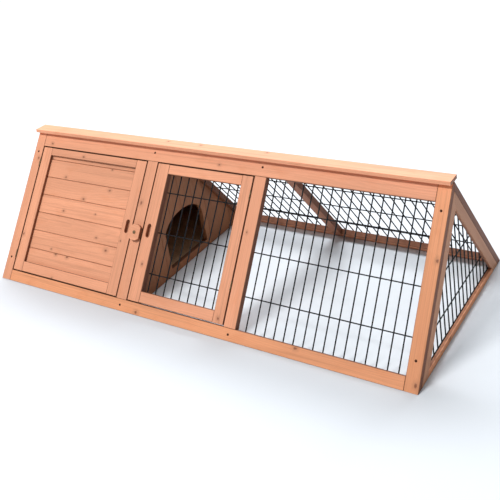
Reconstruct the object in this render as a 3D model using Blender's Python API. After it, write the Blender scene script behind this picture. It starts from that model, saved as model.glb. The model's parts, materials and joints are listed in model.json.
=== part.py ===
"""Triangular wooden rabbit hutch with a boarded house, an arched doorway and a wire run.

X runs along the ridge with the house at -X, the doors face -Y and +Z is up.
The origin lies on the ground under the middle of the hutch.
"""
import math

import bmesh
import bpy
from mathutils import Vector

# Driving dimensions of the A-frame, in metres
LENGTH = 1.180
DEPTH = 0.500
APEX_HEIGHT = 0.3305      # where the outer faces of the two panels would meet
TOP_HEIGHT = 0.3252       # the panels are planed level here, under the ridge cap
TIMBER = 0.015            # thickness of the long sides' frame members
END_TIMBER = 0.008        # thickness of the two end frames
MEMBER = 0.0325           # width of posts and door stiles
END_STILE = 0.030         # width of the outermost stiles
END_LEG = 0.0247          # width of the end frames' legs
CAP_WIDTH = 0.036
CAP_THICKNESS = 0.009
FIT = 0.0003              # gap left between pieces that touch

# Places along X on the doors' side
MULLION = (-0.1860, -0.1540)
POST = (0.1318, 0.1634)
BACK_HOUSE_POST = (-0.1560, -0.1240)
BACK_RUN_POST = (0.1640, 0.1885)

# Places up the slope of a panel, from the ground edge
BOTTOM_RAIL_TOP = 0.0282
TOP_RAIL_BOTTOM = 0.3670
BACK_RAIL_TOP = 0.0280

# Doors
DOOR_GAP = 0.0025
HINGE_GAP = 0.0030
SOLID_TOP_RAIL = 0.0200
MESH_TOP_RAIL = 0.0232
DOOR_BOTTOM_RAIL = 0.0260
MESH_LATCH_STILE = 0.0358
MESH_HINGE_STILE = 0.0293
LIP = 0.0070              # front lip of the solid door's rebate
REBATE = 0.0080
BOARD_PITCH = 0.0479
FIRST_GROOVE = 0.0946     # lowest V-groove between the door's boards
TONGUE = 0.0035
CHAMFER = 0.0014
BOARD_COUNT = 7
SLOT_CENTRE = 0.1991
SLOT_LENGTH = 0.0336
SLOT_WIDTH = 0.0120
SLOT_DEPTH = 0.0090
SLOT_INSET = 0.0160       # middle of the finger slot from the door's free edge
STOP_LAP = 0.0075         # how far the wire door's stop reaches below the top rail
STOP_HIDDEN = 0.0120      # how far it lies up the rail
STOP_THICKNESS = 0.0080

# Hinges and turn button
PIN_HEIGHT = 0.0014       # hinge axis in front of the doors' outer face
PIN_RADIUS = 0.0008
KNUCKLE_RADIUS = 0.0017
KNUCKLE_LENGTH = 0.0070
HINGE_LENGTH = 3 * KNUCKLE_LENGTH
LEAF = 0.0008
LEAF_DEPTH = 0.0125
SOLID_DOOR_HINGES = (0.0724, 0.3211)
MESH_DOOR_HINGES = (0.1175, 0.3228)
BUTTON_PLACE = 0.1888
BUTTON_RADIUS = 0.0200
BUTTON_FLATS = 0.0316
BUTTON_THICKNESS = 0.0085
BUTTON_LIFT = 0.0006

# Wire mesh
WIRE = 0.0026
MESH_PITCH = 0.0239
MESH_ROW = 0.0986
MESH_FIRST_ROW = 0.0018
MESH_LAP = 0.0110         # how far the mesh reaches over the wood
RUN_MESH_START = 0.1566   # first upright of the run's front mesh, along X
DOOR_MESH_START = -0.1091  # first even upright of the door's mesh
BACK_MESH_START = -0.1446
BACK_MESH_ROW = 0.0755    # lowest inner row of the back mesh, up the slope
END_MESH_PITCH = 0.0218
END_MESH_ROW_PITCH = 0.0880
END_MESH_ROW = 0.0606     # height of the end mesh's lowest inner row
END_RAIL = 0.0120         # height of the bottom rail of each end

# House
PARTITION = (-0.1475, -0.1355)
SILL_HEIGHT = 0.0190
ARCH_HALF_WIDTH = 0.0760
ARCH_SPRING = 0.1065
ARCH_RISE = 0.0430
PANEL_BOARD = 0.0072      # thickness of the house's wall boards
FLOOR = (0.0105, 0.0175)
BATTEN = 0.0200
LATCH_STOP = 0.0080       # how far the partition's batten reaches behind the solid door

# Screw of the turn button
SCREW_RADIUS = 0.0014
SCREW_HEAD_RADIUS = 0.0040
SCREW_HEAD = 0.0014
SCREW_DEPTH = 0.0110

HALF_LENGTH = LENGTH / 2
HALF_DEPTH = DEPTH / 2
SLOPE = math.atan2(APEX_HEIGHT, HALF_DEPTH)
RUN = math.cos(SLOPE)
RISE = math.sin(SLOPE)
DOOR_BOTTOM = BOTTOM_RAIL_TOP + DOOR_GAP
DOOR_TOP = TOP_RAIL_BOTTOM - DOOR_GAP
END_FACE = HALF_LENGTH - END_TIMBER

SALMON = (0.78, 0.36, 0.21, 1.0)
ORANGE = (0.74, 0.33, 0.16, 1.0)
SHADED = (0.60, 0.28, 0.15, 1.0)
PLYWOOD = (0.62, 0.40, 0.24, 1.0)
BLACK_WIRE = (0.03, 0.035, 0.04, 1.0)
STEEL = (0.55, 0.53, 0.50, 1.0)
BRONZE = (0.30, 0.22, 0.14, 1.0)


def clear_scene():
    for old in list(bpy.data.objects):
        bpy.data.objects.remove(old, do_unlink=True)


def material(name, colour, roughness, metallic=0.0):
    made = bpy.data.materials.new(name)
    made.use_nodes = True
    shader = made.node_tree.nodes["Principled BSDF"]
    shader.inputs["Base Color"].default_value = colour
    shader.inputs["Roughness"].default_value = roughness
    shader.inputs["Metallic"].default_value = metallic
    return made


def add_object(name, mesh, look, parent=None):
    colour, roughness, metallic = look
    mesh.materials.append(material(name, colour, roughness, metallic))
    made = bpy.data.objects.new(name, mesh)
    bpy.context.scene.collection.objects.link(made)
    made.parent = parent
    return made


def add_frame(name, location, rotation=(0.0, 0.0, 0.0), parent=None):
    """An empty that carries the pieces of one panel or one door."""
    made = bpy.data.objects.new(name, None)
    bpy.context.scene.collection.objects.link(made)
    made.location = location
    made.rotation_euler = rotation
    made.parent = parent
    return made


WOOD_ROUGHNESS = 0.62


def wood(colour):
    return colour, WOOD_ROUGHNESS, 0.0


def metal(colour, roughness=0.45):
    return colour, roughness, 1.0


# Outlines and solids

def clip(outline, a, b, limit):
    """The part of a convex outline where a*u + b*v is at most limit."""
    kept = []
    for here, after in zip(outline, outline[1:] + outline[:1]):
        over_here = a * here[0] + b * here[1] - limit
        over_after = a * after[0] + b * after[1] - limit
        if over_here <= 0:
            kept.append(here)
        if over_here * over_after < 0:
            share = over_here / (over_here - over_after)
            kept.append(tuple(p + (q - p) * share for p, q in zip(here, after)))
    return kept


def rectangle(u, v):
    return [(u[0], v[0]), (u[1], v[0]), (u[1], v[1]), (u[0], v[1])]


def prism(bm, outline, axis, low, high):
    """Extrude an outline along one axis; the outline's own axes are the other two, in order."""
    def place(u, v, w):
        values = [u, v]
        values.insert(axis, w)
        return values

    bottom = [bm.verts.new(place(u, v, low)) for u, v in outline]
    top = [bm.verts.new(place(u, v, high)) for u, v in outline]
    faces = [bm.faces.new(bottom), bm.faces.new(top)]
    count = len(outline)
    for i in range(count):
        j = (i + 1) % count
        faces.append(bm.faces.new((bottom[i], bottom[j], top[j], top[i])))
    bmesh.ops.recalc_face_normals(bm, faces=faces)


def mesh_of(build, name):
    bm = bmesh.new()
    build(bm)
    mesh = bpy.data.meshes.new(name)
    bm.to_mesh(mesh)
    bm.free()
    return mesh


def add_prisms(name, parts, look, parent=None, origin=(0.0, 0.0, 0.0)):
    """One object of separate prisms, each given as (outline, axis, low, high)."""
    def build(bm):
        for outline, axis, low, high in parts:
            prism(bm, outline, axis, low, high)
        bmesh.ops.translate(bm, verts=bm.verts, vec=-Vector(origin))

    made = add_object(name, mesh_of(build, name), look, parent)
    made.location = origin
    return made


def box(x, y, z):
    return rectangle(y, z), 0, x[0], x[1]


def circle(centre, radius, sides, start=0.0):
    return [(centre[0] + radius * math.cos(start + math.tau * i / sides),
             centre[1] + radius * math.sin(start + math.tau * i / sides)) for i in range(sides)]


def cut(target, parts, operation="DIFFERENCE"):
    """Cut prisms, given in the target's parent space, out of the target, or join them to it."""
    def build(bm):
        for outline, axis, low, high in parts:
            prism(bm, outline, axis, low, high)
        bmesh.ops.translate(bm, verts=bm.verts, vec=-target.location)

    tool = bpy.data.objects.new(target.name + "_tool", mesh_of(build, target.name + "_tool"))
    bpy.context.scene.collection.objects.link(tool)
    tool.parent = target.parent
    tool.location = target.location
    boolean = target.modifiers.new("cut", "BOOLEAN")
    boolean.operation = operation
    boolean.solver = "EXACT"
    boolean.object = tool
    bpy.context.view_layer.update()
    whole = target.evaluated_get(bpy.context.evaluated_depsgraph_get())
    result = bpy.data.meshes.new_from_object(whole)
    target.modifiers.clear()
    target.data = result
    bpy.data.objects.remove(tool, do_unlink=True)


# Panel sections: u runs up the slope, v out of the panel's outer face

def panel_section(low, high, inner=-TIMBER, outer=0.0):
    """A strip of a leaning panel, level on the ground, level under the cap, upright at the ridge."""
    outline = rectangle((low, high), (inner, outer))
    outline = clip(outline, -RISE, -RUN, 0.0)
    outline = clip(outline, RISE, RUN, TOP_HEIGHT)
    return clip(outline, RUN, -RISE, HALF_DEPTH - FIT / 2)


PANEL_TOP = TOP_HEIGHT / RISE + TIMBER


def leaning_panel(name, back=False):
    if back:
        return add_frame(name, (0.0, HALF_DEPTH, 0.0), (SLOPE, 0.0, math.pi))
    return add_frame(name, (0.0, -HALF_DEPTH, 0.0), (SLOPE, 0.0, 0.0))


def between(x):
    """World X range as the back panel's own X range, which is turned about Z."""
    return -x[1], -x[0]


def member(name, x, low, high, panel, colour=SALMON):
    return add_prisms(name, [(panel_section(low, high), 0, x[0], x[1])], wood(colour), panel)


def inset(x, amount=FIT):
    return x[0] + amount, x[1] - amount


# Front frame

def front_frame(panel):
    left = (-HALF_LENGTH, -HALF_LENGTH + END_STILE)
    right = (HALF_LENGTH - END_STILE, HALF_LENGTH)
    member("front_left_stile", left, 0, PANEL_TOP, panel)
    member("front_right_stile", right, 0, PANEL_TOP, panel, ORANGE)
    span = inset((left[1], right[0]))
    member("front_top_rail", span, TOP_RAIL_BOTTOM, PANEL_TOP, panel)
    member("front_bottom_rail", span, 0, BOTTOM_RAIL_TOP, panel)
    posts = (BOTTOM_RAIL_TOP + FIT, TOP_RAIL_BOTTOM - FIT)
    mullion = member("front_mullion", MULLION, *posts, panel)
    member("front_post", POST, *posts, panel)
    door_stop(panel)
    return mullion


def door_stop(panel):
    """Strip behind the top rail; the wire door's top edge shuts against it."""
    section = rectangle((TOP_RAIL_BOTTOM - STOP_LAP, TOP_RAIL_BOTTOM + STOP_HIDDEN),
                        (-TIMBER - FIT - STOP_THICKNESS, -TIMBER - FIT))
    x = (PARTITION[1] + FIT, sum(POST) / 2)
    add_prisms("front_door_stop", [(section, 0, x[0], x[1])], wood(SALMON), panel)


# Wire mesh: crossing bars in one layer, joined where they cross

def wire_lattice(bm, uprights, rows, height):
    """A welded mesh in the XY plane of bm, one wire thick."""
    half = WIRE / 2
    us = sorted(edge for u in uprights for edge in (u - half, u + half))
    vs = sorted(edge for v in rows for edge in (v - half, v + half))
    low, high = height
    corners = {}

    def corner(i, j, level):
        key = (i, j, level)
        if key not in corners:
            corners[key] = bm.verts.new((us[i], vs[j], level))
        return corners[key]

    def solid(i, j):
        inside = 0 <= i < len(us) - 1 and 0 <= j < len(vs) - 1
        return inside and (i % 2 == 0 or j % 2 == 0)

    for i in range(len(us) - 1):
        for j in range(len(vs) - 1):
            if not solid(i, j):
                continue
            for level, order in ((high, 1), (low, -1)):
                ring = [corner(i, j, level), corner(i + 1, j, level),
                        corner(i + 1, j + 1, level), corner(i, j + 1, level)]
                bm.faces.new(ring[::order])
            sides = (((i, j), (i + 1, j), (i, j - 1)), ((i + 1, j), (i + 1, j + 1), (i + 1, j)),
                     ((i + 1, j + 1), (i, j + 1), (i, j + 1)), ((i, j + 1), (i, j), (i - 1, j)))
            for start, end, neighbour in sides:
                if not solid(*neighbour):
                    bm.faces.new((corner(*start, low), corner(*end, low),
                                  corner(*end, high), corner(*start, high)))


def evenly(first, pitch, limit):
    places = []
    while first <= limit + 1e-9:
        places.append(first)
        first += pitch
    return places


def add_mesh(name, uprights, rows, height, parent):
    def build(bm):
        wire_lattice(bm, uprights, rows, height)

    return add_object(name, mesh_of(build, name), metal(BLACK_WIRE, 0.5), parent)


def panel_mesh_rows(low, high, first=MESH_FIRST_ROW):
    """Edge wires over the rails and the even rows between them."""
    rows = evenly(first, MESH_ROW, high - MESH_LAP)
    return [low] + [row for row in rows if row > low + MESH_LAP] + [high]


BEHIND_FRAME = (-TIMBER - FIT - WIRE, -TIMBER - FIT)
OUTSIDE_FRAME = (FIT, FIT + WIRE)


def front_run_mesh(panel):
    uprights = evenly(RUN_MESH_START, MESH_PITCH, HALF_LENGTH - END_STILE + MESH_LAP)
    rows = panel_mesh_rows(BOTTOM_RAIL_TOP - MESH_LAP, TOP_RAIL_BOTTOM + MESH_LAP)
    add_mesh("front_run_mesh", uprights, rows, BEHIND_FRAME, panel)


# Doors: built about their hinge line, u across from the hinge, v up the slope

def slot_outline(x):
    half = SLOT_LENGTH / 2 - SLOT_WIDTH / 2
    radius = SLOT_WIDTH / 2
    steps = 6
    top = [(x + radius * math.cos(math.pi * i / steps),
            SLOT_CENTRE + half + radius * math.sin(math.pi * i / steps)) for i in range(steps + 1)]
    bottom = [(x + radius * math.cos(math.pi + math.pi * i / steps),
               SLOT_CENTRE - half + radius * math.sin(math.pi + math.pi * i / steps))
              for i in range(steps + 1)]
    return top + bottom


def rebated(outer, inner):
    """Section of a member whose inner edge is rebated at the back; inner may be either side."""
    away = math.copysign(REBATE, outer - inner)
    return [(outer, -TIMBER), (outer, 0.0), (inner, 0.0), (inner, -LIP),
            (inner + away, -LIP), (inner + away, -TIMBER)]


def solid_door(panel):
    """Boarded door of the house, hinged at its left edge."""
    hinge_x = -HALF_LENGTH + END_STILE + HINGE_GAP / 2
    pivot = add_frame("solid_door_pivot", (hinge_x, 0.0, PIN_HEIGHT), parent=panel)
    left = HINGE_GAP / 2
    right = MULLION[0] - DOOR_GAP - hinge_x
    inner = (left + MEMBER, right - MEMBER)
    face = -PIN_HEIGHT

    def sunk(outline):
        return [(u, v + face) for u, v in outline]

    def along_slope(outline, low, high):
        return sunk(outline), 1, low, high

    def along_x(outline, x):
        return sunk(outline), 0, x[0], x[1]

    add_prisms("solid_door_hinge_stile",
               [along_slope(rebated(left, inner[0]), DOOR_BOTTOM, DOOR_TOP)], wood(SALMON), pivot)
    latch = add_prisms("solid_door_latch_stile",
                       [along_slope(rebated(right, inner[1]), DOOR_BOTTOM, DOOR_TOP)],
                       wood(SALMON), pivot)
    slot = slot_outline(right - SLOT_INSET)
    cut(latch, [(slot, 2, face - SLOT_DEPTH, face + TIMBER)])

    rail_x = inset(inner)
    lap_x = inset(inner, FIT - REBATE)
    low = DOOR_BOTTOM + DOOR_BOTTOM_RAIL
    high = DOOR_TOP - SOLID_TOP_RAIL
    for name, edge, inside in (("solid_door_bottom_rail", DOOR_BOTTOM, low),
                               ("solid_door_top_rail", DOOR_TOP, high)):
        rail = add_prisms(name, [along_x(rebated(edge, inside), rail_x)], wood(SALMON), pivot)
        back_edge = inside + math.copysign(REBATE, edge - inside)
        tongue = rectangle(sorted((edge, back_edge)), (-TIMBER, -LIP - FIT))
        cut(rail, [along_x(tongue, lap_x)], "UNION")

    door_boards(pivot, lap_x, low, high, sunk)
    return pivot


def board_section(low, high, tongue, groove):
    """Tongued and grooved board; its front edges are chamfered where they meet a neighbour."""
    front = -LIP - FIT
    back = -TIMBER + FIT
    third = (front - back) / 3
    outline = [(low, back)]
    if groove:
        depth = TONGUE + FIT
        outline += [(low, back + third - FIT), (low + depth, back + third - FIT),
                    (low + depth, back + 2 * third + FIT), (low, back + 2 * third + FIT),
                    (low, front - CHAMFER), (low + CHAMFER, front)]
    else:
        outline += [(low, front)]
    if tongue:
        outline += [(high - CHAMFER, front), (high, front - CHAMFER), (high, back + 2 * third),
                    (high + TONGUE, back + 2 * third), (high + TONGUE, back + third),
                    (high, back + third)]
    else:
        outline += [(high, front)]
    return outline + [(high, back)]


def door_boards(pivot, x, low, high, sunk):
    edges = [low - REBATE + FIT]
    edges += [FIRST_GROOVE + BOARD_PITCH * i for i in range(BOARD_COUNT - 1)]
    edges += [high + REBATE - FIT]
    last = BOARD_COUNT - 1
    for i in range(BOARD_COUNT):
        outline = board_section(edges[i] + FIT / 2, edges[i + 1] - FIT / 2, i < last, i > 0)
        add_prisms(f"solid_door_board_{i + 1}", [(sunk(outline), 0, x[0], x[1])],
                   wood(SALMON), pivot)


def mesh_door(panel):
    """Wire door of the run, hinged at its right edge on the post."""
    hinge_x = POST[0] - HINGE_GAP / 2
    pivot = add_frame("mesh_door_pivot", (hinge_x, 0.0, PIN_HEIGHT), parent=panel)
    right = -HINGE_GAP / 2
    left = MULLION[1] + DOOR_GAP - hinge_x
    depth = (-TIMBER - PIN_HEIGHT, -PIN_HEIGHT)

    def plate(x, v):
        return rectangle(x, v), 2, depth[0], depth[1]

    height = (DOOR_BOTTOM, DOOR_TOP)
    inner = (left + MESH_LATCH_STILE, right - MESH_HINGE_STILE)
    add_prisms("mesh_door_hinge_stile", [plate((inner[1], right), height)], wood(SALMON), pivot)
    latch = add_prisms("mesh_door_latch_stile", [plate((left, inner[0]), height)],
                       wood(SALMON), pivot)
    cut(latch, [(slot_outline(left + SLOT_INSET), 2, -PIN_HEIGHT - SLOT_DEPTH, TIMBER)])
    rail_x = inset(inner)
    low = (DOOR_BOTTOM, DOOR_BOTTOM + DOOR_BOTTOM_RAIL)
    high = (DOOR_TOP - MESH_TOP_RAIL, DOOR_TOP)
    add_prisms("mesh_door_bottom_rail", [plate(rail_x, low)], wood(SALMON), pivot)
    add_prisms("mesh_door_top_rail", [plate(rail_x, high)], wood(SALMON), pivot)

    uprights = [inner[0] - MESH_LAP]
    uprights += evenly(DOOR_MESH_START - hinge_x, MESH_PITCH, inner[1] + MESH_LAP)
    rows = panel_mesh_rows(low[1] - MESH_LAP, high[0] + MESH_LAP)
    behind = tuple(level - PIN_HEIGHT for level in BEHIND_FRAME)
    add_mesh("mesh_door_mesh", uprights, rows, behind, pivot)
    return pivot


# Butt hinges: leaves in the gap, knuckles and pin in front of it

def hinge_leaf(name, place, side, moving, parent):
    """Leaf plate with its knuckles, about the pin; side is -1 or +1 across the gap."""
    half = HINGE_GAP / 2
    faces = sorted((side * (half - FIT), side * (half - FIT - LEAF)))
    plate_top = -PIN_HEIGHT - 2 * FIT
    plate_bottom = -PIN_HEIGHT - LEAF_DEPTH
    low = place - HINGE_LENGTH / 2
    high = place + HINGE_LENGTH / 2
    plate = (rectangle(faces, (plate_bottom, plate_top)), 1, low, high)
    leaf = add_prisms(name, [plate], metal(BRONZE), parent)
    tabs = []
    knuckles = []
    for i in (1,) if moving else (0, 2):
        start = low + i * KNUCKLE_LENGTH + FIT / 2
        end = start + KNUCKLE_LENGTH - FIT
        tabs.append((rectangle(faces, (plate_bottom + 2 * LEAF, -1.6 * PIN_RADIUS)), 1, start, end))
        knuckles.append((circle((0.0, 0.0), KNUCKLE_RADIUS, 12, math.tau / 24), 1, start, end))
    cut(leaf, tabs, "UNION")
    cut(leaf, knuckles, "UNION")
    bore = circle((0.0, 0.0), PIN_RADIUS + FIT, 12, math.tau / 24)
    cut(leaf, [(bore, 1, low - TIMBER, high + TIMBER)])


def add_hinges(panel, door, pivot, side, places):
    """Two butt hinges on a door's pin line; side is where the door lies from the line."""
    line = add_frame(f"{door}_hinge_line", pivot.location, parent=panel)
    for where, place in zip(("lower", "upper"), places):
        hinge_leaf(f"{door}_{where}_hinge_leaf", place, side, True, pivot)
        hinge_leaf(f"{door}_{where}_frame_leaf", place, -side, False, line)
        pin = (circle((0.0, 0.0), PIN_RADIUS, 10), 1, place - HINGE_LENGTH / 2,
               place + HINGE_LENGTH / 2)
        add_prisms(f"{door}_{where}_hinge_pin", [pin], metal(STEEL), line)


# Turn button on the mullion: a round button with two flats, level with the mullion's edges

def turn_button(panel, mullion):
    centre_x = sum(MULLION) / 2
    place = (centre_x, BUTTON_PLACE, 0.0)
    pivot = add_frame("turn_button_pivot", place, parent=panel)
    panel_axis = add_frame("turn_button_screw_place", place, parent=panel)
    outline = circle((0.0, 0.0), BUTTON_RADIUS, 40)
    outline = clip(outline, 1.0, 0.0, BUTTON_FLATS / 2)
    outline = clip(outline, -1.0, 0.0, BUTTON_FLATS / 2)
    low = BUTTON_LIFT
    high = low + BUTTON_THICKNESS
    button = add_prisms("turn_button", [(outline, 2, low, high)], wood(SALMON), pivot)
    cut(button, [(circle((0.0, 0.0), SCREW_RADIUS + 2 * FIT, 12), 2, -TIMBER, 2 * TIMBER)])
    shank = (circle((0.0, 0.0), SCREW_RADIUS, 10), 2, -SCREW_DEPTH, high + 2 * FIT)
    head = (circle((0.0, 0.0), SCREW_HEAD_RADIUS, 16), 2, high + FIT, high + FIT + SCREW_HEAD)
    screw = add_prisms("turn_button_screw", [shank], metal(BRONZE), panel_axis)
    cut(screw, [head], "UNION")
    hole = circle((centre_x, BUTTON_PLACE), SCREW_RADIUS + FIT, 10)
    cut(mullion, [(hole, 2, -SCREW_DEPTH - FIT, TIMBER)])


# Back frame, boarded behind the house and meshed behind the run

def back_frame(panel):
    left = (-HALF_LENGTH, -HALF_LENGTH + END_STILE)
    right = (HALF_LENGTH - END_STILE, HALF_LENGTH)
    member("back_left_stile", between(left), 0, PANEL_TOP, panel, SHADED)
    member("back_right_stile", between(right), 0, PANEL_TOP, panel, SHADED)
    span = between(inset((left[1], right[0])))
    member("back_top_rail", span, TOP_RAIL_BOTTOM, PANEL_TOP, panel, SHADED)
    rail = member("back_bottom_rail", span, 0, BACK_RAIL_TOP, panel, SHADED)
    posts = (BACK_RAIL_TOP + FIT, TOP_RAIL_BOTTOM - FIT)
    member("back_house_post", between(BACK_HOUSE_POST), *posts, panel, SHADED)
    halved_post("back_run_post", between(BACK_RUN_POST), rail, panel)


def halved_post(name, x, rail, panel):
    """Post whose halved foot lies in a notch of the rail, down to the rail's lower edge."""
    foot = BACK_RAIL_TOP + FIT
    top = TOP_RAIL_BOTTOM - FIT
    half = -TIMBER / 2
    outline = [(0.0, -TIMBER), (top, -TIMBER), (top, 0.0), (foot, 0.0), (foot, half - FIT),
               (0.0, half - FIT)]
    outline = clip(outline, -RISE, -RUN, 0.0)
    add_prisms(name, [(outline, 0, x[0], x[1])], wood(SHADED), panel)
    notch = rectangle((-TIMBER, foot + TIMBER), (-2 * TIMBER, half))
    cut(rail, [(notch, 0, x[0] - FIT, x[1] + FIT)])


def back_run_mesh(panel):
    uprights = [-x for x in evenly(BACK_MESH_START, MESH_PITCH, HALF_LENGTH - MESH_LAP)]
    rows = panel_mesh_rows(BACK_RAIL_TOP - MESH_LAP, TOP_RAIL_BOTTOM + MESH_LAP, BACK_MESH_ROW)
    add_mesh("back_run_mesh", uprights, rows, OUTSIDE_FRAME, panel)


BACK_BOARD_FACE = TIMBER + FIT
BACK_BOARD_INSIDE = BACK_BOARD_FACE + PANEL_BOARD


def grooved(low, high, count, front, back):
    """Outline of joined boards, u along the wall: V-grooves in the front face between them."""
    pitch = (high - low) / count
    outline = [(low, back), (low, front)]
    for i in range(1, count):
        joint = low + pitch * i
        inward = math.copysign(CHAMFER, back - front)
        outline += [(joint - CHAMFER, front), (joint, front + inward), (joint + CHAMFER, front)]
    return outline + [(high, front), (high, back)]


def back_house_panel(panel):
    x = between((-END_FACE + FIT, PARTITION[0] - FIT))
    low = BACK_RAIL_TOP - MESH_LAP
    high = TOP_RAIL_BOTTOM + MESH_LAP
    count = round((high - low) / BOARD_PITCH)
    outline = grooved(low, high, count, -BACK_BOARD_FACE, -BACK_BOARD_INSIDE)
    add_prisms("back_house_panel", [(outline, 0, x[0], x[1])], wood(SHADED), panel)


# Ends: sections in the YZ plane, between the two panels

def inside_panels(outline, front, back):
    """Clip a YZ outline to what lies deeper than front and back inside the outer faces."""
    outline = clip(outline, -RISE, RUN, HALF_DEPTH * RISE - front)
    outline = clip(outline, RISE, RUN, HALF_DEPTH * RISE - back)
    return clip(outline, 0.0, 1.0, TOP_HEIGHT - FIT)


def end_frame(side, x):
    """Two sloping legs and a bottom rail; each leg stops at the ridge's middle plane."""
    whole = rectangle((-HALF_DEPTH, HALF_DEPTH), (0.0, TOP_HEIGHT))
    depth = TIMBER + FIT
    space = inside_panels(whole, depth, depth)
    front = clip(space, 1.0, 0.0, -FIT / 2)
    front = clip(front, RISE, -RUN, -HALF_DEPTH * RISE + depth + END_LEG)
    back = [(-y, z) for y, z in front]
    rail_depth = depth + END_LEG + FIT
    rail = clip(inside_panels(whole, rail_depth, rail_depth), 0.0, 1.0, END_RAIL)
    for name, outline in (("front_leg", front), ("back_leg", back), ("bottom_rail", rail)):
        add_prisms(f"{side}_{name}", [(outline, 0, x[0], x[1])], wood(SHADED))


def right_end_mesh():
    """Upright wires to the slopes, rows across and one wire up each slope's edge."""
    depth = TIMBER + FIT + END_LEG - MESH_LAP
    half = WIRE / 2
    x = (END_FACE - FIT - WIRE, END_FACE - FIT)
    base = END_RAIL / 2
    inner = depth + WIRE
    whole = rectangle((-HALF_DEPTH, HALF_DEPTH), (0.0, TOP_HEIGHT))
    outer = clip(inside_panels(whole, depth, depth), 0.0, -1.0, -base + half)
    hole = clip(inside_panels(whole, inner, inner), 0.0, -1.0, -base - half)
    mesh = add_prisms("right_end_mesh", [(outer, 0, x[0], x[1])], metal(BLACK_WIRE, 0.5))
    columns = []
    count = int(HALF_DEPTH / END_MESH_PITCH)
    for i in range(-count, count):
        y = (i + 0.5) * END_MESH_PITCH
        top = (HALF_DEPTH - abs(y) - inner / RISE) * RISE / RUN - WIRE
        if top > base + END_MESH_PITCH:
            columns.append((y - half, y + half))
    rows = [END_MESH_ROW + END_MESH_ROW_PITCH * i for i in range(3)]
    reach = (x[0] - TIMBER, x[1] + TIMBER)
    levels = [base] + rows
    starts = [-HALF_DEPTH] + [column[1] for column in columns]
    ends = [column[0] for column in columns] + [HALF_DEPTH]
    for low, high in zip(levels, levels[1:] + [TOP_HEIGHT]):
        cells = []
        for y0, y1 in zip(starts, ends):
            cell = clip(hole, 0.0, 1.0, high - half)
            cell = clip(cell, 0.0, -1.0, -low - half)
            cell = clip(cell, 1.0, 0.0, y1)
            cell = clip(cell, -1.0, 0.0, -y0)
            if len(cell) > 2 and cell_area(cell) > WIRE * WIRE:
                cells.append((cell, 0, reach[0], reach[1]))
        if cells:
            cut(mesh, cells)


def cell_area(outline):
    pairs = zip(outline, outline[1:] + outline[:1])
    return abs(sum(a[0] * b[1] - b[0] * a[1] for a, b in pairs)) / 2


def boarded_wall(name, gable, front, back):
    """Upright boards joined edge to edge and sawn to a gable's outline."""
    low = min(y for y, _ in gable)
    high = max(y for y, _ in gable)
    count = round((high - low) / BOARD_PITCH)
    outline = [(x, y) for y, x in grooved(low, high, count, front, back)]
    wall = add_prisms(name, [(outline, 2, -TIMBER, TOP_HEIGHT + TIMBER)], wood(SHADED))
    reach = sorted((front, back))
    cut(wall, [(gable, 0, reach[0] - TIMBER, reach[1] + TIMBER)], "INTERSECT")
    return wall


def left_end_panel():
    """Boards that close the house's gable, behind the end frame."""
    face = -END_FACE + FIT
    whole = rectangle((-HALF_DEPTH, HALF_DEPTH), (FIT, TOP_HEIGHT))
    gable = inside_panels(whole, TIMBER + 2 * FIT, BACK_BOARD_INSIDE + FIT)
    boarded_wall("left_end_panel", gable, face, face + PANEL_BOARD)


# House: partition with an arched doorway, floor and battens

def arch_outline():
    steps = 20
    arch = [(ARCH_HALF_WIDTH * math.cos(math.pi * i / steps),
             ARCH_SPRING + ARCH_RISE * math.sin(math.pi * i / steps)) for i in range(steps + 1)]
    return [(-ARCH_HALF_WIDTH, SILL_HEIGHT), (ARCH_HALF_WIDTH, SILL_HEIGHT)] + arch


def partition():
    whole = rectangle((-HALF_DEPTH, HALF_DEPTH), (FIT, TOP_HEIGHT))
    gable = inside_panels(whole, TIMBER + 4 * FIT, TIMBER + FIT)
    wall = boarded_wall("partition", gable, PARTITION[1], PARTITION[0])
    cut(wall, [(arch_outline(), 0, PARTITION[0] - TIMBER, PARTITION[1] + TIMBER)])


def partition_batten():
    """Sloping batten behind the mullion; the solid door's free edge shuts against it."""
    x = (MULLION[0] - DOOR_GAP - LATCH_STOP, PARTITION[0] - FIT)
    whole = rectangle((-HALF_DEPTH, -4 * FIT), (FLOOR[1] + FIT, TOP_HEIGHT))
    space = inside_panels(whole, TIMBER + 4 * FIT, BACK_BOARD_INSIDE)
    strip = clip(space, RISE, -RUN, -HALF_DEPTH * RISE + TIMBER + BATTEN)
    add_prisms("partition_front_batten", [(strip, 0, x[0], x[1])], wood(SHADED))


def house_floor():
    left = -END_FACE + 2 * FIT + PANEL_BOARD
    right = PARTITION[0] - FIT
    whole = rectangle((-HALF_DEPTH, HALF_DEPTH), FLOOR)
    sheet = inside_panels(whole, TIMBER + 2 * FIT, BACK_BOARD_INSIDE + FIT)
    add_prisms("house_floor", [(sheet, 0, left, right)], (PLYWOOD, 0.7, 0.0))
    under = rectangle((-HALF_DEPTH, HALF_DEPTH), (0.0, FLOOR[0] - FIT))
    batten = inside_panels(under, TIMBER + 2 * FIT, BACK_BOARD_INSIDE + FIT)
    add_prisms("left_floor_batten", [(batten, 0, left, left + BATTEN)], wood(SHADED))
    add_prisms("right_floor_batten", [(batten, 0, right - BATTEN, right)], wood(SHADED))


# Ridge cap

def ridge_cap():
    y = (-CAP_WIDTH / 2, CAP_WIDTH / 2)
    low = TOP_HEIGHT + FIT
    add_prisms("ridge_cap", [box((-HALF_LENGTH, HALF_LENGTH), y,
                                 (low, low + CAP_THICKNESS))], wood(SALMON))


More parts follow.
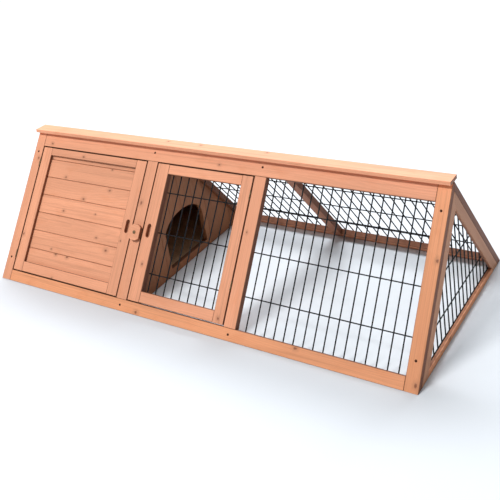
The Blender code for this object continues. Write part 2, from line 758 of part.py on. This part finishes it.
def main():
    clear_scene()
    front = leaning_panel("front_panel")
    back = leaning_panel("back_panel", back=True)
    mullion = front_frame(front)
    front_run_mesh(front)
    add_hinges(front, "solid_door", solid_door(front), 1, SOLID_DOOR_HINGES)
    add_hinges(front, "mesh_door", mesh_door(front), -1, MESH_DOOR_HINGES)
    turn_button(front, mullion)
    back_frame(back)
    back_run_mesh(back)
    back_house_panel(back)
    end_frame("right_end", (END_FACE, HALF_LENGTH))
    end_frame("left_end", (-HALF_LENGTH, -END_FACE))
    right_end_mesh()
    left_end_panel()
    partition()
    partition_batten()
    house_floor()
    ridge_cap()
    bpy.context.view_layer.update()


main()
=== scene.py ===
import json
import math
import random

import bmesh
import bpy
from mathutils import Matrix, Vector


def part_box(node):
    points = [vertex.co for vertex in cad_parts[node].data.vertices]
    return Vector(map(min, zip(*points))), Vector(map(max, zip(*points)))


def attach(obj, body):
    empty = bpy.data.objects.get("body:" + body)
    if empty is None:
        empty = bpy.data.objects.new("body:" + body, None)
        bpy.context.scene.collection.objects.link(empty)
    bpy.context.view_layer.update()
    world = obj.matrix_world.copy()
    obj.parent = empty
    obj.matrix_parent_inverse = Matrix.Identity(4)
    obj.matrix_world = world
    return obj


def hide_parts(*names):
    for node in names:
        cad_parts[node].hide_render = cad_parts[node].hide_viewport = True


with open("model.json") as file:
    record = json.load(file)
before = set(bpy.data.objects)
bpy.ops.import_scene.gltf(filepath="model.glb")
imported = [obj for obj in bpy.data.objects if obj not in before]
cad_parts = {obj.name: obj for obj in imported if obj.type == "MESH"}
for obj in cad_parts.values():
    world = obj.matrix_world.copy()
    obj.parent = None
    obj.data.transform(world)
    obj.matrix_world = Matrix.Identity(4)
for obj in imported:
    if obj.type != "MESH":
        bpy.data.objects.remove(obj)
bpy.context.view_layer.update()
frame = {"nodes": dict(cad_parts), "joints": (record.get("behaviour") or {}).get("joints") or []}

# Directions of the hutch: the doors' hinge lines run up the front panel
X = Vector((1.0, 0.0, 0.0))
Y = Vector((0.0, 1.0, 0.0))
Z = Vector((0.0, 0.0, 1.0))
JOINTS = {joint["name"]: joint for joint in frame["joints"]}
FRONT_UP = Vector(JOINTS["mesh_door_hinge"]["axis"])
FRONT_OUT = X.cross(FRONT_UP)
BACK_UP = Vector((0.0, -FRONT_UP.y, FRONT_UP.z))
BACK_OUT = BACK_UP.cross(X)


def extent(node, direction):
    """Lowest and highest place of a CAD node along a direction."""
    places = [vertex.co.dot(direction) for vertex in frame["nodes"][node].data.vertices]
    return min(places), max(places)


# Shader building

class Graph:
    """Adds nodes to a material and wires them; a number or tuple is a socket's own value."""

    def __init__(self, name):
        self.material = bpy.data.materials.new(name)
        self.material.use_nodes = True
        self.tree = self.material.node_tree
        self.shader = self.tree.nodes["Principled BSDF"]

    def feed(self, socket, value):
        if isinstance(value, bpy.types.NodeSocket):
            self.tree.links.new(value, socket)
        else:
            socket.default_value = value

    def node(self, kind, **settings):
        made = self.tree.nodes.new(kind)
        for key, value in settings.items():
            setattr(made, key, value)
        return made

    def math(self, operation, a, b=0.0, c=0.0):
        made = self.node("ShaderNodeMath", operation=operation)
        for socket, value in zip(made.inputs, (a, b, c)):
            self.feed(socket, value)
        return made.outputs[0]

    def vector(self, operation, a, b=(0.0, 0.0, 0.0)):
        made = self.node("ShaderNodeVectorMath", operation=operation)
        self.feed(made.inputs[0], a)
        self.feed(made.inputs[1], b)
        return made.outputs["Value" if operation in ("LENGTH", "DOT_PRODUCT") else "Vector"]

    def ramp(self, value, low, high, to_low=0.0, to_high=1.0):
        """Smooth step from low to high."""
        made = self.node("ShaderNodeMapRange", interpolation_type="SMOOTHSTEP")
        for socket, fed in zip(made.inputs, (value, low, high, to_low, to_high)):
            self.feed(socket, fed)
        return made.outputs[0]

    def noise(self, coords, scale, detail=2.0, roughness=0.5):
        """Noise stretched by a different scale along each axis."""
        stretched = self.vector("MULTIPLY", coords, scale)
        made = self.node("ShaderNodeTexNoise")
        self.feed(made.inputs["Vector"], stretched)
        made.inputs["Scale"].default_value = 1.0
        made.inputs["Detail"].default_value = detail
        made.inputs["Roughness"].default_value = roughness
        return made.outputs["Fac"]

    def mix(self, share, a, b):
        made = self.node("ShaderNodeMix", data_type="RGBA")
        self.feed(made.inputs["Factor"], share)
        self.feed(made.inputs["A"], a)
        self.feed(made.inputs["B"], b)
        return made.outputs["Result"]

    def split(self, vector):
        made = self.node("ShaderNodeSeparateXYZ")
        self.feed(made.inputs[0], vector)
        return made.outputs[0], made.outputs[1], made.outputs[2]

    def join(self, x, y, z):
        made = self.node("ShaderNodeCombineXYZ")
        for socket, value in zip(made.inputs, (x, y, z)):
            self.feed(socket, value)
        return made.outputs[0]

    def bump(self, height, distance, strength=1.0):
        made = self.node("ShaderNodeBump")
        made.inputs["Strength"].default_value = strength
        made.inputs["Distance"].default_value = distance
        self.feed(made.inputs["Height"], height)
        self.feed(self.shader.inputs["Normal"], made.outputs[0])

    def coordinates(self, kind="Object"):
        return self.node("ShaderNodeTexCoord").outputs[kind]


def shade(colour, factor):
    return tuple(channel * factor for channel in colour[:3]) + (1.0,)


# Stained fir

SALMON = (0.905, 0.400, 0.228, 1.0)
ORANGE = (0.880, 0.370, 0.180, 1.0)
# Painted shade: dark tint for the pieces that stand in shade inside and under the house
INSIDE_PAINTED_SHADE = (0.420, 0.165, 0.070, 1.0)
PLYWOOD = (0.640, 0.420, 0.250, 1.0)
# Painted shade: darker tint for the right end's legs, which face away from the lamps
END_LEG_PAINTED_SHADE = (0.640, 0.300, 0.165, 1.0)
KNOT = (0.170, 0.050, 0.022, 1.0)
# Dark colour for joint stain and for painted shade in the gaps and below the planed face
STAIN_AND_PAINTED_SHADE = (0.150, 0.044, 0.016, 1.0)
# How dark the edges get: joint stain plus painted gap shade
EDGE_STAIN_AND_SHADE = 0.75
EDGE_WIDTH = 0.0015
# How dark the painted shade gets on what lies below the planed face
SUNK_PAINTED_SHADE = 0.62
RING_PITCH = 0.0042
EDGE_ROUNDING = 0.0009
SHARP_ANGLE = math.radians(35)

# Noise scales along the grain, across it and into the wood, per metre
FIBRES = (14.0, 900.0, 900.0)
STREAKS = (3.0, 150.0, 150.0)
STAIN = (2.2, 14.0, 14.0)
BLOTCHES = (18.0, 40.0, 40.0)
RING_WOBBLE = (5.0, 60.0, 60.0)
HEART_WANDER = (1.6, 6.0, 6.0)
KNOT_EDGE = (260.0, 260.0, 260.0)


def knot_nodes(graph, place, knots):
    """Dark core and halo of each knot, and how far the grain bends aside round it."""
    core, halo, bend = 0.0, 0.0, 0.0
    ragged = graph.math("MULTIPLY", graph.noise(place, KNOT_EDGE, 2.0), 1.3)
    for along, across, radius in knots:
        away = graph.vector("SUBTRACT", place, (along, across, 0.0))
        scaled = graph.vector("MULTIPLY", away, (0.7 / radius, 1.0 / radius, 0.0))
        distance = graph.math("ADD", graph.vector("LENGTH", scaled), ragged)
        core = graph.math("MAXIMUM", core, graph.ramp(distance, 0.9, 1.9, 1.0, 0.0))
        halo = graph.math("MAXIMUM", halo, graph.ramp(distance, 1.2, 4.2, 1.0, 0.0))
        reach = graph.vector("LENGTH", graph.vector("MULTIPLY", scaled, (0.35, 0.55, 0.0)))
        fade = graph.ramp(reach, 0.2, 1.9, 1.0, 0.0)
        side = graph.split(away)[1]
        bend = graph.math("ADD", bend, graph.math("MULTIPLY", side, fade))
    return core, halo, bend


def fir(name, grain, face, tint, seed, knots, boards, depth, edges, top):
    """Stained fir: year rings cut by the face, fibres, knots, end grain, stain variation and painted
    shade.

    boards is the lowest edge and the pitch of joined boards, edges the two long edges to darken
    and top the level of the planed face; each is None where it does not apply.
    """
    graph = Graph(name)
    chance = random.Random(seed)
    turned = Matrix((grain, face.cross(grain), face))
    mapping = graph.node("ShaderNodeMapping", vector_type="POINT")
    mapping.inputs["Rotation"].default_value = turned.to_euler()
    graph.feed(mapping.inputs["Vector"], graph.coordinates())
    place = mapping.outputs[0]
    along, across, deep = graph.split(place)

    core, halo, bend = knot_nodes(graph, place, knots)
    offset = Vector((chance.uniform(0, 9), chance.uniform(0, 9), chance.uniform(0, 9)))
    if boards:
        low, pitch = boards
        index = graph.math("FLOOR", graph.math("DIVIDE", graph.math("SUBTRACT", across, low), pitch))
        white = graph.node("ShaderNodeTexWhiteNoise", noise_dimensions="1D")
        graph.feed(white.inputs["W"], graph.math("ADD", index, offset.x))
        board_tone = white.outputs["Value"]
        shift = graph.join(graph.math("MULTIPLY", board_tone, 3.0), 0.0, board_tone)
        place = graph.vector("ADD", place, shift)
    own = graph.vector("ADD", place, offset)

    # Year rings: distance from a slowly wandering heart that lies behind the face
    wander = graph.noise(own, HEART_WANDER, 1.0)
    heart = graph.math("MULTIPLY_ADD", wander, 0.09, chance.uniform(-0.06, -0.02))
    aside = graph.math("SUBTRACT", graph.math("SUBTRACT", across, bend), heart)
    if boards:
        middle = graph.math("MULTIPLY_ADD", index, pitch, low)
        aside = graph.math("SUBTRACT", aside, middle)
    behind = graph.math("MULTIPLY_ADD", along, chance.uniform(-0.06, 0.06), depth)
    behind = graph.math("SUBTRACT", behind, deep)
    radius = graph.vector("LENGTH", graph.join(aside, behind, 0.0))
    wobble = graph.noise(own, RING_WOBBLE, 2.0)
    rings = graph.math("MULTIPLY_ADD", radius, 1.0 / RING_PITCH, graph.math("MULTIPLY", wobble, 2.2))
    phase = graph.math("FRACT", rings)
    late = graph.math("MULTIPLY", graph.ramp(phase, 0.25, 0.88), graph.ramp(phase, 0.90, 1.0, 1.0, 0.0))

    fibres = graph.noise(own, FIBRES, 3.0, 0.6)
    streaks = graph.noise(own, STREAKS, 3.0, 0.55)
    stain = graph.noise(own, STAIN, 2.0)
    blotch = graph.noise(own, BLOTCHES, 2.0)

    tone = 0.80 + 0.10 * chance.random()
    light = shade(tint, tone + 0.16)
    dark = shade(tint, tone - 0.20)
    warm = (tint[0] * tone, tint[1] * tone * 0.86, tint[2] * tone * 0.72, 1.0)
    colour = graph.mix(graph.ramp(stain, 0.32, 0.68), light, shade(tint, tone))
    colour = graph.mix(graph.ramp(blotch, 0.52, 0.80, 0.0, 0.45), colour, warm)
    colour = graph.mix(graph.math("MULTIPLY", late, 0.22), colour, dark)
    colour = graph.mix(graph.ramp(streaks, 0.48, 0.74, 0.0, 0.62), colour, dark)
    colour = graph.mix(graph.ramp(fibres, 0.50, 0.72, 0.0, 0.22), colour, shade(dark, 0.72))
    if boards:
        colour = graph.mix(graph.ramp(board_tone, 0.2, 1.0, 0.0, 0.5), colour, dark)
    colour = graph.mix(graph.math("MULTIPLY", halo, 0.50), colour, shade(dark, 0.78))
    colour = graph.mix(graph.math("MULTIPLY", core, 0.78), colour, KNOT)

    # End grain soaks up more stain
    facing = graph.vector("DOT_PRODUCT", graph.coordinates("Normal"), tuple(grain))
    end = graph.ramp(graph.math("ABSOLUTE", facing), 0.80, 0.95)
    arcs = graph.math("MULTIPLY_ADD", late, 0.5, graph.math("MULTIPLY", blotch, 0.5))
    end_colour = graph.mix(arcs, shade(tint, 0.52), shade(tint, 0.26))
    colour = graph.mix(end, colour, end_colour)

    # Darker long edges: stain gathered in the joints plus painted shade of the gaps. Below the planed
    # face, painted shade darkens the recesses and sides
    if edges:
        low, high = edges
        inward = graph.math("MINIMUM", graph.math("SUBTRACT", across, low),
                            graph.math("SUBTRACT", high, across))
        rim = graph.ramp(inward, 0.0004, EDGE_WIDTH, EDGE_STAIN_AND_SHADE, 0.0)
        colour = graph.mix(rim, colour, STAIN_AND_PAINTED_SHADE)
    if top is not None:
        # Painted shade on recesses and sides that lie below the planed face
        sunk_shade = graph.ramp(graph.math("SUBTRACT", top, deep), 0.0012, 0.0030, 0.0, SUNK_PAINTED_SHADE)
        if face != BACK_OUT:
            # The backs of the doors and the front get no painted shade
            outward = graph.vector("DOT_PRODUCT", graph.coordinates("Normal"), tuple(face))
            sunk_shade = graph.math("MULTIPLY", sunk_shade, graph.ramp(outward, -0.9, -0.5))
        colour = graph.mix(sunk_shade, colour, STAIN_AND_PAINTED_SHADE)

    graph.feed(graph.shader.inputs["Base Color"], colour)
    roughness = graph.math("MULTIPLY_ADD", fibres, 0.16, 0.50)
    roughness = graph.math("MULTIPLY_ADD", core, -0.14, roughness)
    graph.feed(graph.shader.inputs["Roughness"], roughness)
    graph.shader.inputs["Specular IOR Level"].default_value = 0.35
    height = graph.math("MULTIPLY_ADD", fibres, 0.7, graph.math("MULTIPLY", late, 0.5))
    height = graph.math("MULTIPLY_ADD", core, 0.8, height)
    graph.bump(height, 0.00035, 0.8)
    return graph.material


# Metals

def black_wire():
    graph = Graph("coated_wire")
    place = graph.coordinates()
    patch = graph.noise(place, (60.0, 60.0, 60.0), 3.0)
    speck = graph.noise(place, (1500.0, 1500.0, 1500.0), 2.0)
    colour = graph.mix(patch, (0.003, 0.0035, 0.004, 1.0), (0.009, 0.010, 0.012, 1.0))
    graph.feed(graph.shader.inputs["Base Color"], colour)
    graph.feed(graph.shader.inputs["Roughness"], graph.math("MULTIPLY_ADD", patch, 0.25, 0.45))
    graph.shader.inputs["Specular IOR Level"].default_value = 0.25
    graph.bump(speck, 0.0001, 0.4)
    return graph.material


def plated(name, light, dark, roughness):
    """Plated steel, duller in patches."""
    graph = Graph(name)
    place = graph.coordinates()
    patch = graph.noise(place, (220.0, 220.0, 220.0), 4.0, 0.6)
    scratch = graph.noise(place, (300.0, 2400.0, 2400.0), 2.0)
    colour = graph.mix(graph.ramp(patch, 0.35, 0.70), light, dark)
    graph.feed(graph.shader.inputs["Base Color"], colour)
    graph.shader.inputs["Metallic"].default_value = 1.0
    graph.feed(graph.shader.inputs["Roughness"], graph.math("MULTIPLY_ADD", patch, 0.3, roughness))
    graph.bump(scratch, 0.00008, 0.4)
    return graph.material


# Which way the grain of each wooden piece runs, and which way its broad face looks

DOOR_BOARDS = tuple(f"solid_door_board_{number}" for number in range(1, 8))
GRAINS = (
    (X, FRONT_OUT, ("front_top_rail", "front_bottom_rail", "solid_door_top_rail",
                    "solid_door_bottom_rail", "mesh_door_top_rail", "mesh_door_bottom_rail",
                    *DOOR_BOARDS, "turn_button", "front_door_stop")),
    (FRONT_UP, FRONT_OUT, ("front_left_stile", "front_right_stile", "front_mullion", "front_post",
                           "solid_door_hinge_stile", "solid_door_latch_stile",
                           "mesh_door_hinge_stile", "mesh_door_latch_stile",
                           "partition_front_batten")),
    (X, BACK_OUT, ("back_top_rail", "back_bottom_rail", "back_house_panel")),
    (BACK_UP, BACK_OUT, ("back_left_stile", "back_right_stile", "back_house_post",
                         "back_run_post")),
    (FRONT_UP, X, ("right_end_front_leg", "left_end_front_leg")),
    (BACK_UP, X, ("right_end_back_leg", "left_end_back_leg")),
    (Y, X, ("right_end_bottom_rail", "left_end_bottom_rail", "left_floor_batten",
            "right_floor_batten")),
    (Z, X, ("partition", "left_end_panel")),
    (X, Z, ("ridge_cap", "house_floor")),
)
BOARD_PITCH = 0.0479
BOARDED = ("back_house_panel", "partition", "left_end_panel")
ORANGE_PIECES = ("front_right_stile", "front_bottom_rail", "right_end_bottom_rail")
# Pieces inside and under the house, darkened with painted shade
SHADE_PAINTED_PIECES = ("partition", "partition_front_batten", "back_house_post", "front_door_stop",
                "left_floor_batten", "right_floor_batten")
# The right end's legs get the painted-shade tint
END_LEGS = ("right_end_front_leg", "right_end_back_leg")


# Knots fall by chance, closer together in the boards and the knotty right stile
KNOT_SPACING = 0.45
KNOTTY_SPACING = 0.18
SMALLEST_KNOT = 0.0018
LARGEST_KNOT = 0.0034


def chance_knots(node, grain, side):
    """Seeded knots of a piece, as (along the grain, across it, radius)."""
    chance = random.Random("knots of " + node)
    knotty = "board" in node or node == "front_right_stile"
    start, end = extent(node, grain)
    low, high = extent(node, side)
    count = round((end - start) / (KNOTTY_SPACING if knotty else KNOT_SPACING))
    return [(chance.uniform(start, end), chance.uniform(low, high),
             chance.uniform(SMALLEST_KNOT, LARGEST_KNOT)) for _ in range(count)]


def round_edges(piece):
    """Weld the faceted node, round its edges and keep its flat faces flat."""
    weld = piece.modifiers.new("weld", "WELD")
    weld.merge_threshold = 0.00002
    bevel = piece.modifiers.new("rounded edges", "BEVEL")
    bevel.width = EDGE_ROUNDING
    bevel.segments = 2
    bevel.limit_method = "ANGLE"
    bevel.angle_limit = SHARP_ANGLE
    flat = piece.modifiers.new("flat faces", "WEIGHTED_NORMAL")
    flat.keep_sharp = True


def dress(node, material):
    piece = frame["nodes"][node]
    piece.material_slots[0].material = material
    return piece


def tint_of(node):
    if node in ORANGE_PIECES:
        return ORANGE
    if node == "house_floor":
        return PLYWOOD
    # Painted shade on the right end's legs
    if node in END_LEGS:
        return END_LEG_PAINTED_SHADE
    # Painted shade on the pieces inside and under the house
    if node in SHADE_PAINTED_PIECES:
        return INSIDE_PAINTED_SHADE
    return SALMON


def dress_timber():
    seed = 0
    for grain, face, names in GRAINS:
        side = face.cross(grain)
        for node in names:
            seed += 1
            chance = random.Random(node)
            boards = None
            if node in BOARDED:
                low, high = extent(node, side)
                count = round((high - low) / BOARD_PITCH)
                boards = (low, (high - low) / count)
            knots = chance_knots(node, grain, side)
            top = extent(node, face)[1]
            depth = top - chance.uniform(0.02, 0.07)
            edges = extent(node, side) if face in (FRONT_OUT, BACK_OUT) else None
            # Painted shade below the planed face goes on front, back and right-end pieces, not on
            # boards or the back bottom rail
            planed = top if face in (FRONT_OUT, BACK_OUT) or node.startswith("right_end") else None
            if "board" in node or node == "back_bottom_rail":
                planed = None
            wood = fir("fir_" + node, grain, face, tint_of(node), seed, knots, boards, depth, edges,
                       planed)
            round_edges(dress(node, wood))


# Welded wire

def tube(bm, start, end, radius, sides=10):
    """A round wire with closed, slightly domed ends."""
    direction = (end - start).normalized()
    turn = direction.to_track_quat("Z", "Y").to_matrix()
    tip = radius * 0.5
    profile = ((0.0, radius * 0.6), (tip, radius))
    length = (end - start).length
    stations = list(profile)
    stations += [(length - height, size) for height, size in reversed(profile)]
    rings = []
    for height, size in stations:
        ring = []
        for i in range(sides):
            angle = math.tau * i / sides
            local = Vector((size * math.cos(angle), size * math.sin(angle), height))
            ring.append(bm.verts.new(start + turn @ local))
        rings.append(ring)
    for low, high in zip(rings, rings[1:]):
        for i in range(sides):
            j = (i + 1) % sides
            bm.faces.new((low[i], low[j], high[j], high[i]))
    bm.faces.new(rings[0][::-1])
    bm.faces.new(rings[-1])


def add_piece(name, build, material, body):
    bm = bmesh.new()
    build(bm)
    mesh = bpy.data.meshes.new(name)
    bm.to_mesh(mesh)
    bm.free()
    mesh.materials.append(material)
    mesh.shade_smooth()
    mesh.set_sharp_from_angle(angle=SHARP_ANGLE)
    piece = bpy.data.objects.new(name, mesh)
    bpy.context.scene.collection.objects.link(piece)
    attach(piece, body)
    return piece


UPRIGHT_RADIUS = 0.00150
ROW_RADIUS = 0.00138
WELD = 0.0004             # how far crossing wires sink into each other
CAD_WIRE = 0.0026         # side of the CAD mesh's square bars


def bar_places(node, direction):
    """Middles of the CAD mesh's bars along a direction: its vertices lie on both sides of each."""
    places = sorted(vertex.co.dot(direction) for vertex in frame["nodes"][node].data.vertices)
    edges = [places[0]]
    for place in places:
        if place - edges[-1] > CAD_WIRE / 4:
            edges.append(place)
    return [low + CAD_WIRE / 2 for low, high in zip(edges, edges[1:])
            if abs(high - low - CAD_WIRE) < CAD_WIRE / 4]


def wire_levels(node, out):
    """Levels of uprights and rows; the wires lie against the frame as the CAD mesh does."""
    low, high = extent(node, out)
    apart = UPRIGHT_RADIUS + ROW_RADIUS - WELD
    if node == "back_run_mesh":
        return low + ROW_RADIUS + apart, low + ROW_RADIUS
    return high - UPRIGHT_RADIUS, high - UPRIGHT_RADIUS - apart


def panel_wires(name, node, up, out, body, wire):
    """Uprights up the slope and rows along X where the CAD mesh has its bars."""
    upright_level, row_level = wire_levels(node, out)
    low_x, high_x = extent(node, X)
    low_up, high_up = extent(node, up)

    def build(bm):
        for x in bar_places(node, X):
            foot = X * x + out * upright_level
            tube(bm, foot + up * low_up, foot + up * high_up, UPRIGHT_RADIUS)
        for row in bar_places(node, up):
            start = up * row + out * row_level
            tube(bm, start + X * low_x, start + X * high_x, ROW_RADIUS)

    piece = add_piece(name, build, wire, body)
    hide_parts(node)


END_PITCH = 0.0218        # the right end's own mesh
END_FIRST_ROW = 0.0606
END_ROW = 0.0880


def end_wires(wire):
    """The right end's mesh follows the gable: uprights cut to the slopes, rows and sloping edges."""
    node = "right_end_mesh"
    low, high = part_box(node)
    upright_x, row_x = wire_levels(node, X)
    slope = FRONT_UP.z / FRONT_UP.y
    base = low.z + CAD_WIRE / 2
    apex = base + (high.y - CAD_WIRE / 2) * slope

    def reach(z):
        return (apex - z) / slope

    def build(bm):
        count = int(high.y / END_PITCH)
        for i in range(-count, count):
            y = (i + 0.5) * END_PITCH
            top = apex - abs(y) * slope
            if top > base + END_PITCH:
                tube(bm, Vector((upright_x, y, low.z)), Vector((upright_x, y, top)), UPRIGHT_RADIUS)
        for z in [base] + [END_FIRST_ROW + END_ROW * i for i in range(3)]:
            tube(bm, Vector((row_x, -reach(z), z)), Vector((row_x, reach(z), z)), ROW_RADIUS)
        for side in (-1, 1):
            tube(bm, Vector((row_x, side * reach(base), base)), Vector((row_x, 0.0, apex)),
                 ROW_RADIUS)

    piece = add_piece("right_end_wires", build, wire, "hutch")
    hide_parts(node)


def make_wires():
    wire = black_wire()
    panel_wires("front_run_wires", "front_run_mesh", FRONT_UP, FRONT_OUT, "hutch", wire)
    panel_wires("mesh_door_wires", "mesh_door_mesh", FRONT_UP, FRONT_OUT, "mesh_door", wire)
    panel_wires("back_run_wires", "back_run_mesh", BACK_UP, BACK_OUT, "hutch", wire)
    end_wires(wire)


# Hinges and the button's screw keep their CAD solids

def dress_metal():
    bronze = plated("bronzed_steel", (0.30, 0.21, 0.12, 1.0), (0.13, 0.09, 0.05, 1.0), 0.34)
    steel = plated("plain_steel", (0.55, 0.53, 0.50, 1.0), (0.32, 0.30, 0.28, 1.0), 0.28)
    for node in frame["nodes"]:
        if node.endswith("leaf") or node == "turn_button_screw":
            dress(node, bronze)
        elif node.endswith("hinge_pin"):
            dress(node, steel)
    add_fasteners(plated("dark_screws", (0.090, 0.040, 0.025, 1.0), (0.040, 0.015, 0.010, 1.0), 0.50))


# Frame screws: only their heads are seen

SCREW_INSET = 0.060
SCREW_RADIUS = 0.0028
SCREW_RISE = 0.0004
SCREW_SUNK = 0.0005
SCREW_SIDES = 14
SCREWED_PANELS = (("front", FRONT_UP, FRONT_OUT, ("front_mullion", "front_post")),
                  ("back", BACK_UP, BACK_OUT, ("back_house_post", "back_run_post")))


def disc(bm, centre, normal, radius, height):
    """A low domed head on a face."""
    turn = normal.to_track_quat("Z", "Y").to_matrix()
    rings = []
    for level, size in ((-SCREW_SUNK, radius), (height * 0.5, radius), (height, radius * 0.72)):
        ring = []
        for i in range(SCREW_SIDES):
            angle = math.tau * i / SCREW_SIDES
            local = Vector((size * math.cos(angle), size * math.sin(angle), level))
            ring.append(bm.verts.new(centre + turn @ local))
        rings.append(ring)
    for low, high in zip(rings, rings[1:]):
        for i in range(SCREW_SIDES):
            j = (i + 1) % SCREW_SIDES
            bm.faces.new((low[i], low[j], high[j], high[i]))
    bm.faces.new(rings[0][::-1])
    bm.faces.new(rings[-1])


def screw_head(bm, upright, seat, place, out, up):
    """A head in line with the middle of an upright, on the outer face of the piece it goes into."""
    centre = sum(extent(upright, X)) / 2
    disc(bm, X * centre + up * place + out * extent(seat, out)[1], out, SCREW_RADIUS, SCREW_RISE)


def add_fasteners(material):
    """Screws a fixed way in from the ends of the stiles, and through both rails into the posts."""
    def heads(bm):
        for panel, up, out, posts in SCREWED_PANELS:
            for stile in (panel + "_left_stile", panel + "_right_stile"):
                low, high = extent(stile, up)
                screw_head(bm, stile, stile, low + SCREW_INSET, out, up)
                screw_head(bm, stile, stile, high - SCREW_INSET, out, up)
            for post in posts:
                for rail in (panel + "_top_rail", panel + "_bottom_rail"):
                    screw_head(bm, post, rail, sum(extent(rail, up)) / 2, out, up)

    piece = add_piece("frame_screws", heads, material, "hutch")


# Floor, light and camera

def floor_material():
    graph = Graph("pale_floor")
    speck = graph.noise(graph.coordinates(), (9.0, 9.0, 9.0), 3.0)
    colour = graph.mix(speck, (0.675, 0.71, 0.75, 1.0), (0.69, 0.725, 0.765, 1.0))
    graph.feed(graph.shader.inputs["Base Color"], colour)
    graph.shader.inputs["Roughness"].default_value = 0.9
    graph.shader.inputs["Specular IOR Level"].default_value = 0.1
    return graph.material


FLOOR_RADIUS = 14.0
FLOOR_LEVEL = -0.0004     # just below the hutch's feet


def add_floor():
    bm = bmesh.new()
    bmesh.ops.create_circle(bm, cap_ends=True, segments=96, radius=FLOOR_RADIUS)
    mesh = bpy.data.meshes.new("floor")
    bm.to_mesh(mesh)
    bm.free()
    mesh.materials.append(floor_material())
    floor = bpy.data.objects.new("floor", mesh)
    bpy.context.scene.collection.objects.link(floor)
    floor.location.z = FLOOR_LEVEL


def add_area(name, location, target, size, watts, colour=(1.0, 1.0, 1.0)):
    data = bpy.data.lights.new(name, "AREA")
    data.shape = "RECTANGLE"
    data.size, data.size_y = size
    data.energy = watts
    data.color = colour
    lamp = bpy.data.objects.new(name, data)
    bpy.context.scene.collection.objects.link(lamp)
    lamp.location = location
    lamp.rotation_euler = (target - location).to_track_quat("-Z", "Y").to_euler()


AMBIENT = 0.22
LIGHT_TARGET = Vector((0.0, 0.0, 0.1))


def add_light():
    """A pale studio: soft light all round, one light behind the ridge and one before it."""
    world = bpy.data.worlds.new("studio")
    world.use_nodes = True
    background = world.node_tree.nodes["Background"]
    background.inputs["Color"].default_value = (1.0, 1.0, 1.0, 1.0)
    background.inputs["Strength"].default_value = AMBIENT
    bpy.context.scene.world = world
    add_area("back", Vector((-1.4, 4.4, 4.9)), LIGHT_TARGET, (6.0, 1.7), 570.0, (0.94, 0.97, 1.0))
    add_area("front", Vector((-1.5, -3.2, 5.3)), LIGHT_TARGET, (2.2, 0.9), 295.0)


CAMERA_AZIMUTH = 36.273
CAMERA_ELEVATION = 20.659
CAMERA_ROLL = -9.190
CAMERA_LENS = 58.995
CAMERA_TARGET = Vector((0.1245, 0.0, 0.4295))
CAMERA_DISTANCE = 1.8337
CAMERA_SHIFT = -0.27


def add_camera():
    """The photograph's viewpoint; the shift stands for its crop below the optical axis."""
    azimuth = math.radians(CAMERA_AZIMUTH)
    elevation = math.radians(CAMERA_ELEVATION)
    roll = math.radians(CAMERA_ROLL)
    back = Vector((math.sin(azimuth) * math.cos(elevation), -math.cos(azimuth) * math.cos(elevation),
                   math.sin(elevation)))
    level = Vector((math.cos(azimuth), math.sin(azimuth), 0.0))
    upright = back.cross(level)
    right = level * math.cos(roll) + upright * math.sin(roll)
    up = upright * math.cos(roll) - level * math.sin(roll)
    data = bpy.data.cameras.new("camera")
    data.lens = CAMERA_LENS
    data.sensor_width = 36.0
    data.shift_y = CAMERA_SHIFT
    camera = bpy.data.objects.new("camera", data)
    bpy.context.scene.collection.objects.link(camera)
    turned = Matrix((right, up, back)).transposed().to_4x4()
    camera.matrix_world = Matrix.Translation(CAMERA_TARGET + back * CAMERA_DISTANCE) @ turned
    bpy.context.scene.camera = camera


dress_timber()
dress_metal()
make_wires()
add_floor()
add_light()
add_camera()
bpy.context.scene.view_settings.view_transform = "Standard"
